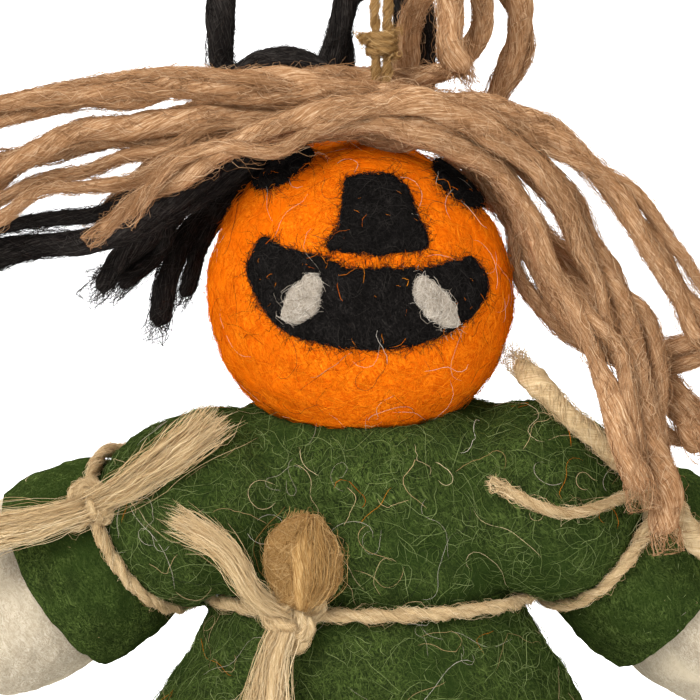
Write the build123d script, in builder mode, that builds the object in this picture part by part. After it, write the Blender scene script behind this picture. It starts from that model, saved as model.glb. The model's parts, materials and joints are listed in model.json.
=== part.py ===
"""Hanging scarecrow figure in needle felt, with a pumpkin head, yarn hair and jute twine ties.

Millimetres. +Z is up, +X is to the viewer's right and the figure faces -Y. The origin is where
a hook bears in the top of the hanging loop. Left and right are the figure's own sides, so its
right arm is at -X.
"""

import math
import os

from build123d import *

# ---- driving dimensions ------------------------------------------------------------------
HEAD_R = 21.0  # felt ball
FIGURE_Y = -1.15  # puts the centre of gravity under the hanging loop
HEAD = Vector(-2.8, FIGURE_Y, -82.0)  # the loop is sewn a little to one side of the ball
BODY_X = -1.5  # middle plane of tunic, arms and legs
FELT = 2.6  # wall of the tunic's skirt
GAP = 0.25  # between soft pieces that lie against each other
FACE_TILT = 7.0  # degrees that the face looks up

TWINE_R = 1.0  # jute of the belt and the shoulder ties
LOOP_R = 0.65  # finer jute of the hanging loop
TAN_R = 1.9  # tan hair yarn
BLACK_R = 1.8  # black hair yarn
EYE_DEPTH = 0.8  # thickness of a needled-on patch

WAIST_Z = HEAD.Z - 42.5
HEM_Z = HEAD.Z - 76.0
CORE_BOTTOM_Z = HEAD.Z - 57.0

SHOULDER_X = 31.9  # from the middle plane
SHOULDER_Y = 2.0
SHOULDER_Z = HEAD.Z - 34.3
SHOULDER_BALL = 9.3
ARM_BACK = 22.0  # degrees that the arms are swept back
ARM_DROOP = {"right": 24.0, "left": 30.0}  # degrees below level
ARM_LENGTH = 37.0  # from the shoulder tie to the rounded end
SIDES = {"right": -1, "left": 1}

HIP_X = 12.0
HIP_Z = HEAD.Z - 62.0
HIP_BALL = 7.6
FOOT_Z = HEAD.Z - 112.0

TRUNK_FLAT = 0.68  # depth of trunk and skirt over width
WAIST_HALF = 21.3

# Half width of the outer trunk and skirt, then of the hollow inside, at heights from the
# head's middle.
TRUNK = [
    (13.0, -15.5),
    (21.0, -19.5),
    (23.6, -28.0),
    (WAIST_HALF, -42.5),
    (27.5, -54.0),
    (34.0, -66.0),
    (38.0, -76.0),
]
HOLLOW = [
    (8.0, -17.5),
    (17.0, -23.0),
    (19.0, -30.0),
    (WAIST_HALF - FELT, -42.5),
    (27.5 - FELT, -54.0),
    (34.0 - FELT, -66.0),
    (38.4 - FELT, -77.0),
]

# Hair yarns: half thickness, then the route from end to end, from the head's middle.
HAIR = {
    "hair_tan_1": (TAN_R, [(-56, -4.5, 20.5), (-46, -6, 25), (-34, -7, 27), (-20, -8, 29.8),
                           (-4, -8, 28), (10, -7, 25.8), (20, -6.5, 25.4), (31, -6.5, 18.6),
                           (39, -8, 8), (44.5, -9.5, -2.5), (53, -8, -9)]),
    "hair_tan_2": (TAN_R, [(-56, -8.5, 13.5), (-44, -7.5, 20.3), (-32, -7, 23.2), (-18, -7, 24.6),
                           (-4, -5.6, 23.4), (10, -5, 22), (20.5, -4, 21), (28, -4.5, 13.8),
                           (33.5, -7, 4.5), (37, -11, -6), (39, -14.5, -19), (42, -16, -31)]),
    "hair_tan_3": (TAN_R, [(-56, -8, 5.5), (-45, -8.5, 12.8), (-33, -9, 15.8), (-21, -10, 19.4),
                           (-6, -10.6, 21.4), (7, -11, 20.9), (16.5, -9, 16.5), (22, -9.8, 9),
                           (25, -11, 1.5), (30, -13.5, -5.5), (34.5, -17, -14.5), (36, -19, -25)]),
    "hair_tan_4": (TAN_R, [(-36, 4, 9.5), (-29, 5, 17), (-19, 5.2, 23.6), (-6, 5.7, 25.3),
                           (8, 5.6, 22.6), (19, 3.8, 14.8), (23.6, 1.5, 5.5), (27, -0.5, -2),
                           (33, -3.5, -7.5), (42, -4.5, -8.5), (53, -3.5, -4.5)]),
    "hair_tan_5": (TAN_R, [(-52.5, -2, 10.5), (-50, -2.2, 16), (-43.5, -2.6, 19.3), (-31, -3, 21.8),
                           (-17, 1, 27), (-4, 7, 29.5), (8, 7, 28), (15.5, 4, 32.2),
                           (17.5, 3, 40), (15, 4, 48)]),
    "hair_tan_6": (TAN_R, [(4.5, 12.4, 22.6), (7, 11.6, 32), (8.8, 10, 41), (15, 9, 47.5),
                           (22, 9, 41.5), (22.3, 9.5, 33), (17.5, 8.6, 25.5), (16, 8.6, 17.8)]),
    "hair_tan_7": (TAN_R, [(13, -5.5, 30), (12.4, -5, 36), (11.5, -4, 42), (13.5, -2.5, 48)]),
    "hair_tan_8": (TAN_R, [(-36, -13, 6.5), (-30, -13.5, 12), (-21, -14.2, 17.8), (-10.5, -14.4, 22.8),
                           (-1, -13.2, 24.6), (9, -12.6, 24.2), (18, -11.5, 19.6), (25.5, -9, 12.6),
                           (29.5, -9, 5), (31.3, -8.8, -2.5)]),
    "hair_tan_9": (TAN_R, [(10, 17, 15), (19, 15, 12.5), (27.5, 9.5, 5), (33.5, 4, -3.5),
                           (39.5, 0.5, -11), (43.5, -5.5, -16), (46.5, -10, -21)]),
    "hair_black_1": (BLACK_R, [(-57, 1, 4.5), (-45, -1, 6.6), (-34, -2, 8), (-23.5, -3, 14),
                               (-15, -1, 19.4), (-6, 9, 21.4), (3, 16, 19.2),
                               (8.5, 17.8, 27), (8.5, 19.5, 38), (7, 21, 47)]),
    "hair_black_2": (BLACK_R, [(-19, 15, 48), (-20, 14.5, 38), (-20.3, 14.6, 29), (-14, 16, 24),
                               (-4, 18.6, 20), (5, 20.8, 13.5), (14, 20.5, 6), (18, 18, -4)]),
    "hair_black_3": (BLACK_R, [(0.5, 19, 47), (-2, 20, 38), (-4.5, 21.4, 29), (-9, 21.6, 20),
                               (-17.5, 17, 13), (-24, 11, 7.5), (-27, 8.6, 0), (-29, 8, -6)]),
    "hair_black_4": (BLACK_R, [(-1.5, 12.8, 26.6), (-7, 12.4, 31.4), (-14.5, 11, 30.6), (-20.5, 10.5, 24.5),
                               (-24.5, 10, 15.5), (-29, 7.5, 6.5), (-37, 6, -0.5)]),
}


def at(x, y, z):
    """A point given from the head's middle."""
    return Vector(HEAD.X + x, HEAD.Y + y, HEAD.Z + z)


def write(part, name):
    """Labels a finished piece and writes its STEP file."""
    part.label = name
    os.makedirs("parts", exist_ok=True)
    export_step(part, f"parts/{name}.step")


def corner_radii(points):
    """The largest arc that each corner of a route has room for."""
    radii = []
    for before, here, after in zip(points, points[1:], points[2:]):
        turn = math.radians((here - before).get_angle(after - here))
        shorter = min((here - before).length, (after - here).length)
        radii.append(0.45 * shorter / math.tan(turn / 2))
    return radii


def tube(name, points, radius):
    """A cord's plain solid: straight runs joined by tangent arcs."""
    radii = corner_radii(points)
    print(name, "radii", [round(r, 1) for r in radii])
    with BuildPart() as cord:
        with BuildLine() as route:
            FilletPolyline(*points, radius=radii)
        with BuildSketch(Plane(origin=points[0], z_dir=points[1] - points[0])):
            Circle(radius)
        sweep(path=route.wires()[0])
    expected = math.pi * radius**2 * route.wires()[0].length
    assert abs(cord.part.volume / expected - 1) < 0.01, name
    write(cord.part, name)


# ---- hanging loop ------------------------------------------------------------------------
LOOP_FOOT = Vector(0, 0, HEAD.Z + math.sqrt(HEAD_R**2 - HEAD.X**2 - HEAD.Y**2))
ANCHOR_R = 2.4
LOOP_PINCH_Z = -40.0  # the two legs run side by side below this
HOOK_R = 3.6
LOOP_KNOT_Z = HEAD.Z + 33.7


def hanging_loop():
    """One length of fine jute, up from the crown, round the hook and back."""
    up = [
        Vector(-LOOP_R - 0.05, 0, LOOP_FOOT.Z + ANCHOR_R + 0.02),
        Vector(-LOOP_R - 0.1, 0, LOOP_PINCH_Z),
        Vector(-2.2, 0, -22),
        Vector(-HOOK_R + 0.2, 0, -9),
        Vector(-HOOK_R, 0, LOOP_R),
    ]
    down = [Vector(-p.X, p.Y, p.Z) for p in reversed(up)]
    tube("hang_loop", up + down, LOOP_R)


def anchor_knot():
    """The knot sewn into the crown, which the loop swings on."""
    with BuildPart(Location(LOOP_FOOT)) as knot:
        Sphere(ANCHOR_R)
    write(knot.part, "loop_anchor_knot")


def loop_knot():
    """The small binding that holds the loop's two legs together."""
    with BuildPart(Location((0, 0, LOOP_KNOT_Z))) as knot:
        Sphere(2.2)
        with Locations((-1.8, 0, 0.3)):
            Cylinder(0.8, 2.6, rotation=(0, 90, 0))
        for side in (-1, 1):
            with Locations((side * (LOOP_R + 0.1), 0, 0)):
                Cylinder(LOOP_R + 0.12, 8, mode=Mode.SUBTRACT)
        Box(0.6, 1.2, 8, mode=Mode.SUBTRACT)
    write(knot.part, "loop_knot")


# ---- head --------------------------------------------------------------------------------
FACE = Plane(
    origin=HEAD,
    x_dir=(1, 0, 0),
    z_dir=(0, -math.cos(math.radians(FACE_TILT)), math.sin(math.radians(FACE_TILT))),
)


def head():
    """The felt ball, with a seat in the crown for the loop's knot."""
    with BuildPart(Location(HEAD)) as ball:
        Sphere(HEAD_R)
        with Locations(LOOP_FOOT - HEAD):
            Sphere(ANCHOR_R + GAP, mode=Mode.SUBTRACT)
    write(ball.part, "head")


with BuildSketch() as nose_outline:
    with BuildLine():
        Polyline((-2.6, 13.4), (-3.2, 8.0), (-4.8, 5.0), (9.4, 5.4), (6.4, 12.4))
        ThreePointArc((6.4, 12.4), (2.2, 15.3), (-2.6, 13.4))
    make_face()

with BuildSketch() as mouth_outline:
    with BuildLine():
        ThreePointArc((-12.4, 7.0), (1.5, 2.7), (15.6, 3.6))
        ThreePointArc((15.6, 3.6), (16.9, -0.4), (13.4, -5.2))
        ThreePointArc((13.4, -5.2), (-1.0, -7.9), (-11.2, -3.6))
        ThreePointArc((-11.2, -3.6), (-14.8, 1.9), (-12.4, 7.0))
    make_face()


def oval(x, z, lean, width, height):
    """An oval leaning to one side, in the plane of the face."""
    with BuildSketch() as outline:
        with Locations(Location((x, z), lean)):
            Ellipse(width / 2, height / 2)
    return outline.sketch


def patch(name, outline, inner, thick):
    """A needled-on piece of felt that follows the ball."""
    with BuildPart(Location(HEAD)) as piece:
        Sphere(inner + thick)
        Sphere(inner, mode=Mode.SUBTRACT)
    with BuildPart() as cutter:
        with BuildSketch(FACE):
            add(outline)
        extrude(amount=HEAD_R + 5)
    with BuildPart() as trimmed:
        add(piece.part)
        add(cutter.part, mode=Mode.INTERSECT)
    write(trimmed.part, name)


# ---- body --------------------------------------------------------------------------------
def flattened(profile, shrink=0.0):
    """A profile of (half width, height) points turned about the body and flattened in depth."""
    points = [(x - shrink, HEAD.Z + z) for x, z in profile]
    with BuildPart(mode=Mode.PRIVATE) as solid:
        with BuildSketch(Plane.XZ):
            with BuildLine():
                Spline(*points)
                Polyline(points[-1], (0, points[-1][1]), (0, points[0][1]), points[0])
            make_face()
        revolve(axis=Axis.Z)
        scale(by=(1, TRUNK_FLAT, 1))
    return Pos(BODY_X, FIGURE_Y, 0) * solid.part


def shoulder(side):
    """Where the arm turns, its direction, and a plane whose X runs down the arm."""
    sign, droop, back = SIDES[side], math.radians(ARM_DROOP[side]), math.radians(ARM_BACK)
    centre = Vector(BODY_X + sign * SHOULDER_X, FIGURE_Y + SHOULDER_Y, SHOULDER_Z)
    along = Vector(
        sign * math.cos(back) * math.cos(droop),
        math.sin(back),
        -math.cos(back) * math.sin(droop),
    )
    up = (Vector(0, 0, 1) - along * along.Z).normalized()
    return centre, along, Plane(origin=centre, x_dir=along, z_dir=along.cross(up))


def around_arm(plane, points):
    """A profile of (distance down the arm, radius) points turned about the arm's axis."""
    with BuildPart(mode=Mode.PRIVATE) as turned:
        with BuildSketch(plane):
            with BuildLine():
                Spline(*points)
                Polyline(points[-1], (points[-1][0], 0), (points[0][0], 0), points[0])
            make_face()
        revolve(axis=Axis(plane.origin, plane.x_dir))
    return turned.part


YOKE_IN = 13.0
YOKE_R = 13.2
YOKE_END = 10.8  # radius of the shoulder where the tie cinches it
YOKE = [(-YOKE_IN, YOKE_R), (-7, YOKE_R), (-3.4, 12.2), (-0.4, YOKE_END)]


def tunic():
    """Trunk and flared skirt in green felt, hollow and open at the hem."""
    with BuildPart() as garment:
        add(flattened(TRUNK))
        for side in SIDES:
            centre, along, plane = shoulder(side)
            with Locations(centre - along * YOKE_IN):
                Sphere(YOKE_R)
            add(around_arm(plane, YOKE))
        add(flattened(HOLLOW), mode=Mode.SUBTRACT)
        add(waist_ring(TWINE_R + GAP), mode=Mode.SUBTRACT)
        with Locations(HEAD):
            Sphere(HEAD_R + GAP, mode=Mode.SUBTRACT)
        for side in SIDES:
            with Locations(shoulder(side)[0]):
                Sphere(SHOULDER_BALL + 0.3, mode=Mode.SUBTRACT)
    write(garment.part, "tunic")


def body_core():
    """The undyed wool stuffing that fills the tunic down to the hips."""
    with BuildPart() as core:
        add(flattened(HOLLOW, GAP))
        with Locations((BODY_X, 0, CORE_BOTTOM_Z - 50)):
            Box(120, 120, 100, mode=Mode.SUBTRACT)
        with Locations(HEAD):
            Sphere(HEAD_R + GAP, mode=Mode.SUBTRACT)
        for sign in SIDES.values():
            with Locations((BODY_X + sign * HIP_X, FIGURE_Y, HIP_Z)):
                Sphere(HIP_BALL + 0.3, mode=Mode.SUBTRACT)
    write(core.part, "body_core")


# ---- arms --------------------------------------------------------------------------------
SLEEVE_END = 16.5
ARM_IN_BALL = 6.0


def sleeve(side):
    """A short green sleeve whose inner end is a ball that turns in the shoulder."""
    centre, along, plane = shoulder(side)
    with BuildPart() as piece:
        with Locations(centre):
            Sphere(SHOULDER_BALL)
        add(around_arm(plane, [(3.8, 8.4), (6.5, 13.0), (11, 14.1), (SLEEVE_END, 14.3)]))
        add(around_arm(plane, arm_profile(GAP)), mode=Mode.SUBTRACT)
    write(piece.part, f"sleeve_{side}")


def arm_profile(grow=0.0):
    """The arm inside and beyond its sleeve, as (distance, radius) points."""
    return [
        (-ARM_IN_BALL - grow, 0.01),
        (-ARM_IN_BALL - grow + 0.8, 4.0 + grow),
        (-2, 5.8 + grow),
        (5, 6.8 + grow),
        (10, 10.4 + grow),
        (SLEEVE_END + 1, 12.2 + grow),
        (26, 12.6 + grow),
        (33, 10.5 + grow),
        (ARM_LENGTH - 0.7, 4.2 + grow),
        (ARM_LENGTH + grow, 0.01),
    ]


def arm(side):
    """Chunky undyed felt arm with a rounded end."""
    plane = shoulder(side)[2]
    write(around_arm(plane, arm_profile()), f"arm_{side}")


def shoulder_tie(side):
    """Jute twine round the root of the sleeve."""
    centre, along, _ = shoulder(side)
    with BuildPart(Plane(origin=centre - along * 0.9, z_dir=along)) as ring:
        Torus(TIE_R, TWINE_R)
    write(ring.part, f"shoulder_tie_{side}")


TIE_R = YOKE_END + TWINE_R + 0.5
KNOT_R = 3.4
KNOT_ANGLE = {"right": 55.0, "left": 42.0}  # round the tie from its top towards the front


def tie_point(side, angle, out=TIE_R):
    """A point on a shoulder tie: 0 degrees is its top and 90 its front."""
    centre, along, plane = shoulder(side)
    front = (Vector(0, -1, 0) + along * along.Y).normalized()
    up = (Vector(0, 0, 1) - along * along.Z).normalized()
    turn = math.radians(angle)
    return centre - along * 0.9 + up * math.cos(turn) * out + front * math.sin(turn) * out


def shoulder_knot(side):
    """The overhand knot of a shoulder tie, with the tie passing through it."""
    centre, along, _ = shoulder(side)
    with BuildPart() as knot:
        with Locations(tie_point(side, KNOT_ANGLE[side], TIE_R + 2.2)):
            Sphere(KNOT_R)
        with Locations(Plane(origin=centre - along * 0.9, z_dir=along)):
            Torus(TIE_R, TWINE_R + 0.1, mode=Mode.SUBTRACT)
            Cylinder(TIE_R + 0.2, 12, mode=Mode.SUBTRACT)
        with Locations(centre - along * YOKE_IN):
            Sphere(YOKE_R + 0.2, mode=Mode.SUBTRACT)
    write(max(knot.part.solids(), key=lambda s: s.volume), f"shoulder_knot_{side}")


# ---- legs --------------------------------------------------------------------------------
def leg(side):
    """Undyed felt leg that hangs from a ball in the bottom of the core."""
    x = BODY_X + SIDES[side] * HIP_X
    with BuildPart() as limb:
        with Locations((x, FIGURE_Y, HIP_Z)):
            Sphere(HIP_BALL)
        with BuildSketch(Plane(origin=(x, FIGURE_Y, 0), x_dir=(1, 0, 0), z_dir=(0, -1, 0))):
            with BuildLine():
                Line((0, HIP_Z), (HIP_BALL - 0.01, HIP_Z))
                Spline(
                    (HIP_BALL - 0.01, HIP_Z),
                    (8.3, HIP_Z - 22),
                    (9.0, FOOT_Z + 9),
                    (6.6, FOOT_Z + 2.2),
                    (0, FOOT_Z),
                    tangents=((0, -1), (-1, 0)),
                )
                Line((0, FOOT_Z), (0, HIP_Z))
            make_face()
        revolve(axis=Axis((x, FIGURE_Y, 0), (0, 0, 1)))
    write(limb.part, f"leg_{side}")


# ---- belt and frayed ends ----------------------------------------------------------------
BELT_GAP = 0.35


def belt_ellipse():
    """Half width and half depth of the belt's middle line."""
    reach = TWINE_R + BELT_GAP
    return WAIST_HALF + reach, WAIST_HALF * TRUNK_FLAT + reach


def belt_point(x, out=0.0):
    """A point on the front of the belt, at x from the middle plane, moved out."""
    half_width, half_depth = belt_ellipse()
    depth = half_depth * math.sqrt(1 - (x / half_width) ** 2)
    return Vector(BODY_X + x, FIGURE_Y - depth - out, WAIST_Z)


def waist_ring(radius):
    """A round section taken all the way round the waist."""
    half_width, half_depth = belt_ellipse()
    with BuildPart(mode=Mode.PRIVATE) as ring:
        with BuildLine(Plane.XY.offset(WAIST_Z)) as route:
            EllipticalCenterArc((BODY_X, FIGURE_Y), half_width, half_depth, 0, arc_size=360)
        with BuildSketch(Plane((BODY_X + half_width, FIGURE_Y, WAIST_Z), z_dir=(0, 1, 0))):
            Circle(radius)
        sweep(path=route.wires()[0])
    return ring.part


BELT_KNOT_X = -10.6
BELT_KNOT = (5.2, 3.6, 4.2)  # radii of the belt's knot


def belt_knot():
    """The belt's knot, with the twine passing through it."""
    half_width, half_depth = belt_ellipse()
    centre = belt_point(BELT_KNOT_X, 2.6)
    with BuildPart() as knot:
        with BuildSketch(Plane.XY.offset(WAIST_Z)):
            with Locations((centre.X, centre.Y)):
                Ellipse(BELT_KNOT[0], BELT_KNOT[1])
        extrude(amount=BELT_KNOT[2] / 2, both=True)
        fillet(knot.edges().filter_by(GeomType.ELLIPSE), 1.8)
        with BuildLine(Plane.XY.offset(WAIST_Z)) as route:
            EllipticalCenterArc((BODY_X, FIGURE_Y), half_width, half_depth, 180, arc_size=180)
        with BuildSketch(Plane((BODY_X - half_width, FIGURE_Y, WAIST_Z), z_dir=(0, -1, 0))):
            Rectangle(3 * TWINE_R, 2.4 * TWINE_R)
        sweep(path=route.wires()[0], mode=Mode.SUBTRACT)
    write(max(knot.part.solids(), key=lambda s: s.volume), "belt_knot")


def tail(name, points, radii):
    """A frayed end: round sections lofted along a hand-placed line, wider at the end."""
    with BuildPart() as piece:
        for i, (point, radius) in enumerate(zip(points, radii)):
            before, after = points[max(i - 1, 0)], points[min(i + 1, len(points) - 1)]
            with BuildSketch(Plane(origin=point, z_dir=after - before)):
                Circle(radius)
        loft()
    write(piece.part, name)


def belt_bow_loop():
    """The bow's one ear, untwisted and pressed flat like a leaf."""
    with BuildPart() as leaf:
        for z, half_width, half_depth, x in (
            (-40.2, 2.4, 1.1, -8.2),
            (-36.5, 4.9, 1.6, -7.6),
            (-32.0, 4.6, 1.6, -8.0),
            (-28.4, 1.8, 0.9, -7.4),
        ):
            with BuildSketch(Plane.XY.offset(HEAD.Z + z)):
                with Locations((HEAD.X + x, FIGURE_Y - 18.6)):
                    Ellipse(half_width, half_depth)
        loft()
    write(leaf.part, "belt_bow_loop")


TAILS = {
    "belt_tail_up": ([(-15.2, -20.0, -39.0), (-16.6, -20.2, -35.5), (-19.4, -19.8, -31),
                      (-23.6, -18.4, -28)], [1.5, 1.7, 2.3, 2.7]),
    "belt_tail_down": ([(-11.6, -20.6, -46.4), (-12, -23.6, -51), (-12.6, -27.8, -57.5),
                        (-13, -31.2, -63.5)], [1.4, 1.9, 3.0, 4.2]),
    "shoulder_tail_right": ([(-34.4, -11.2, -25.6), (-29, -14.2, -21.8), (-24, -15, -18.2),
                             (-19.5, -14.5, -14.8)], [1.5, 2.2, 2.7, 3.2]),
    "shoulder_tail_left": ([(38.6, -8.2, -22.6), (33.4, -8.8, -17.6), (28, -6.4, -13.2),
                            (23.2, -1.6, -9.8)], [1.1, 1.6, 2.0, 2.2]),
    "shoulder_strand_left": ([(38, -9.4, -26.2), (34, -14.4, -27.4), (28, -17, -28.4),
                              (20, -17.8, -26.6)], [0.7, 0.7, 0.7, 0.7]),
    "outer_tail_right": ([(-40.4, -10.2, -28.6), (-44.5, -10.2, -29.4), (-49, -9.6, -30.8),
                          (-55, -8.6, -33)], [1.8, 2.3, 2.4, 2.2]),
    "outer_tail_left": ([(42.2, -8.6, -28.3), (44.2, -10.4, -31.5), (47, -10.8, -34.5),
                         (51, -10.4, -37)], [1.5, 1.8, 1.9, 1.9]),
}

hanging_loop()
anchor_knot()
loop_knot()
head()
patch("nose_patch", nose_outline.sketch, HEAD_R + 0.05, EYE_DEPTH)
patch("mouth_patch", mouth_outline.sketch, HEAD_R + 0.05, EYE_DEPTH)
TOOTH_INNER = HEAD_R + EYE_DEPTH + 0.1
patch("tooth_right", oval(-7.3, -1.4, -27, 4.8, 7.6), TOOTH_INNER, 1.0)
patch("tooth_left", oval(9.4, -1.8, 41, 4.2, 8.2), TOOTH_INNER, 1.0)
patch("eye_right", oval(-12.0, 14.2, 40, 8.4, 5.2), HEAD_R + 0.05, EYE_DEPTH)
patch("eye_left", oval(13.4, 13.4, -43, 8.4, 5.2), HEAD_R + 0.05, EYE_DEPTH)
for yarn, (half_thick, yarn_route) in HAIR.items():
    tube(yarn, [at(*p) for p in yarn_route], half_thick)
tunic()
body_core()
write(waist_ring(TWINE_R), "belt")  # jute twine drawn into the felt
belt_knot()
belt_bow_loop()
for limb_side in SIDES:
    sleeve(limb_side)
    arm(limb_side)
    shoulder_tie(limb_side)
    shoulder_knot(limb_side)
    leg(limb_side)
for tail_name, (tail_points, tail_radii) in TAILS.items():
    tail(tail_name, [at(*p) for p in tail_points], tail_radii)
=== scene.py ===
"""Looks of the hanging scarecrow figure: needle felt, wool yarn and jute twine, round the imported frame."""
import json
import math

import bpy
import numpy as np
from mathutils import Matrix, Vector, noise
from mathutils.bvhtree import BVHTree


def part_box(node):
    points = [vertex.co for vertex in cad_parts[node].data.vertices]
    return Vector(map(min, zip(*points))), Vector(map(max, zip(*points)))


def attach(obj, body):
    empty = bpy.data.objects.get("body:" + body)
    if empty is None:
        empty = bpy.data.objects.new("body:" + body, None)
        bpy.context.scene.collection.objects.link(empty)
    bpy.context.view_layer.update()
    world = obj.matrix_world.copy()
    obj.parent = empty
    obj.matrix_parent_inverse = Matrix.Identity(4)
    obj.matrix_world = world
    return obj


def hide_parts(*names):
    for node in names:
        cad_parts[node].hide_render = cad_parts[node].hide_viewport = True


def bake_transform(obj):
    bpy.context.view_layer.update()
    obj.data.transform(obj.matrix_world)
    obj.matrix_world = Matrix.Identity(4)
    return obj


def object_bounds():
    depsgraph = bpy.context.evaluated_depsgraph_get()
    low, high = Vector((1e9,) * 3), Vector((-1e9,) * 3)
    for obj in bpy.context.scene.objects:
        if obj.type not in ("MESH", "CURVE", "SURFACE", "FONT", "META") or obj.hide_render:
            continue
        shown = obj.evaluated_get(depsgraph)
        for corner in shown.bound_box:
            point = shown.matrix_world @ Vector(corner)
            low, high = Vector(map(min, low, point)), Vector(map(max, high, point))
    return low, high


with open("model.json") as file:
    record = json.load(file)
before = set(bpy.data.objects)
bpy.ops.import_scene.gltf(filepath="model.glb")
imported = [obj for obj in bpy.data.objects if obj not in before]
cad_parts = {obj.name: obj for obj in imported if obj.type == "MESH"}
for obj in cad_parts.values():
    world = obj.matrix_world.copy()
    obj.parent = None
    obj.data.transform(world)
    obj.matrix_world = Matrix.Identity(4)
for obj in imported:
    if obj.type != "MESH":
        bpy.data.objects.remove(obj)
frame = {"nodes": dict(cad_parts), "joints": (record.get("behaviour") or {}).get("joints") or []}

CAD_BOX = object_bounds()
MM = 0.001  # shapes below are in millimetres
X_AXIS, Y_AXIS, Z_AXIS = np.eye(3)


def centre_of(node):
    lo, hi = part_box(node)
    return np.array((lo + hi) / 2) / MM


def joint(name):
    found = [j for j in frame["joints"] if j["name"] == name][0]
    return np.array(found["pos_m"]) / MM


HEAD = centre_of("head")
CROWN = joint("swing")
BODY = np.array([(joint("leg_right_swing")[0] + joint("leg_left_swing")[0]) / 2, HEAD[1], 0])
SIDES = {"right": -1, "left": 1}
SHOULDER = {side: joint(f"arm_{side}_bend") for side in SIDES}
DROOP = {"right": math.radians(31), "left": math.radians(37)}
BACK = math.radians(22)
ALONG = {
    side: np.array([
        sign * math.cos(BACK) * math.cos(DROOP[side]),
        math.sin(BACK),
        -math.cos(BACK) * math.sin(DROOP[side]),
    ])
    for side, sign in SIDES.items()
}


def at(points):
    """Places in the frame, from points measured from the head's middle."""
    return np.asarray(points, float) + HEAD


# ---- camera, light, stage ----------------------------------------------------------------
ELEVATION = math.radians(8)
DISTANCE = 450.0
SENSOR = 36
WIDTH = 95.2  # of the view at the figure
AIM = at((-1.5, -8.0, -7.3))


def look(thing, towards):
    thing.rotation_mode = "QUATERNION"
    thing.rotation_quaternion = towards.to_track_quat("-Z", "Y")


def camera_and_lights(scene):
    scene.view_settings.view_transform = "Standard"
    camera = bpy.data.objects.new("camera", bpy.data.cameras.new("camera"))
    scene.collection.objects.link(camera)
    back = Vector((0, -math.cos(ELEVATION), math.sin(ELEVATION)))
    camera.location = (Vector(AIM) + back * DISTANCE) * MM
    look(camera, -back)
    camera.data.sensor_width = SENSOR
    camera.data.lens = SENSOR * DISTANCE / WIDTH
    camera.data.clip_start, camera.data.clip_end = 0.02, 20
    scene.camera = camera

    scene.world = bpy.data.worlds.new("studio")
    scene.world.use_nodes = True
    sky = scene.world.node_tree.nodes["Background"].inputs
    sky["Color"].default_value, sky["Strength"].default_value = (1, 1, 1, 1), 0.5
    level = Vector((0, 0, HEAD[2] * MM))
    for name, place, aim, size, power in (
        ("key", (-0.45, -0.8, 0.55), (0, 0, -0.02), 0.55, 13.0),
        ("fill", (0.75, -0.6, 0.1), (0, 0, -0.02), 0.7, 4.0),
        ("top", (0.05, 0.25, 0.8), (0, 0, -0.02), 0.6, 6.0),
        ("paper_left", (-0.9, 0.5, 0.2), (-0.2, 2, 0.1), 0.8, 32.0),
        ("paper_right", (0.9, 0.5, 0.2), (0.2, 2, 0.1), 0.8, 32.0),
    ):
        light = bpy.data.objects.new(name, bpy.data.lights.new(name, "AREA"))
        light.data.size, light.data.energy = size, power
        light.location = Vector(place) + level
        look(light, Vector(aim) + level - light.location)
        scene.collection.objects.link(light)


def backdrop(scene):
    """A floor that curves up into a wall."""
    near, bend = 1.4, 0.6
    rows = [(-1.2, 0.0), (near, 0.0)]
    rows += [(near + bend * math.sin(a), bend - bend * math.cos(a)) for a in np.linspace(0.1, 1.57, 12)]
    rows += [(2.0, 3.0)]
    low = CAD_BOX[0].z - 0.05
    verts = [(x, y, low + z) for y, z in rows for x in (-3, 3)]
    faces = [(2 * i, 2 * i + 1, 2 * i + 3, 2 * i + 2) for i in range(len(rows) - 1)]
    mesh = bpy.data.meshes.new("floor")
    mesh.from_pydata(verts, [], faces)
    floor = bpy.data.objects.new("floor", mesh)
    scene.collection.objects.link(floor)
    paper = bpy.data.materials.new("paper")
    paper.use_nodes = True
    shader = paper.node_tree.nodes["Principled BSDF"].inputs
    shader["Base Color"].default_value, shader["Roughness"].default_value = (0.9, 0.9, 0.9, 1), 0.9
    mesh.materials.append(paper)


camera_and_lights(bpy.context.scene)
backdrop(bpy.context.scene)


# ---- materials ---------------------------------------------------------------------------
def colour(r, g, b):
    """Linear colour from 0-255 screen values."""
    return tuple(((c / 255 + 0.055) / 1.055) ** 2.4 if c > 10 else c / 3294.6 for c in (r, g, b)) + (1,)


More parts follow.
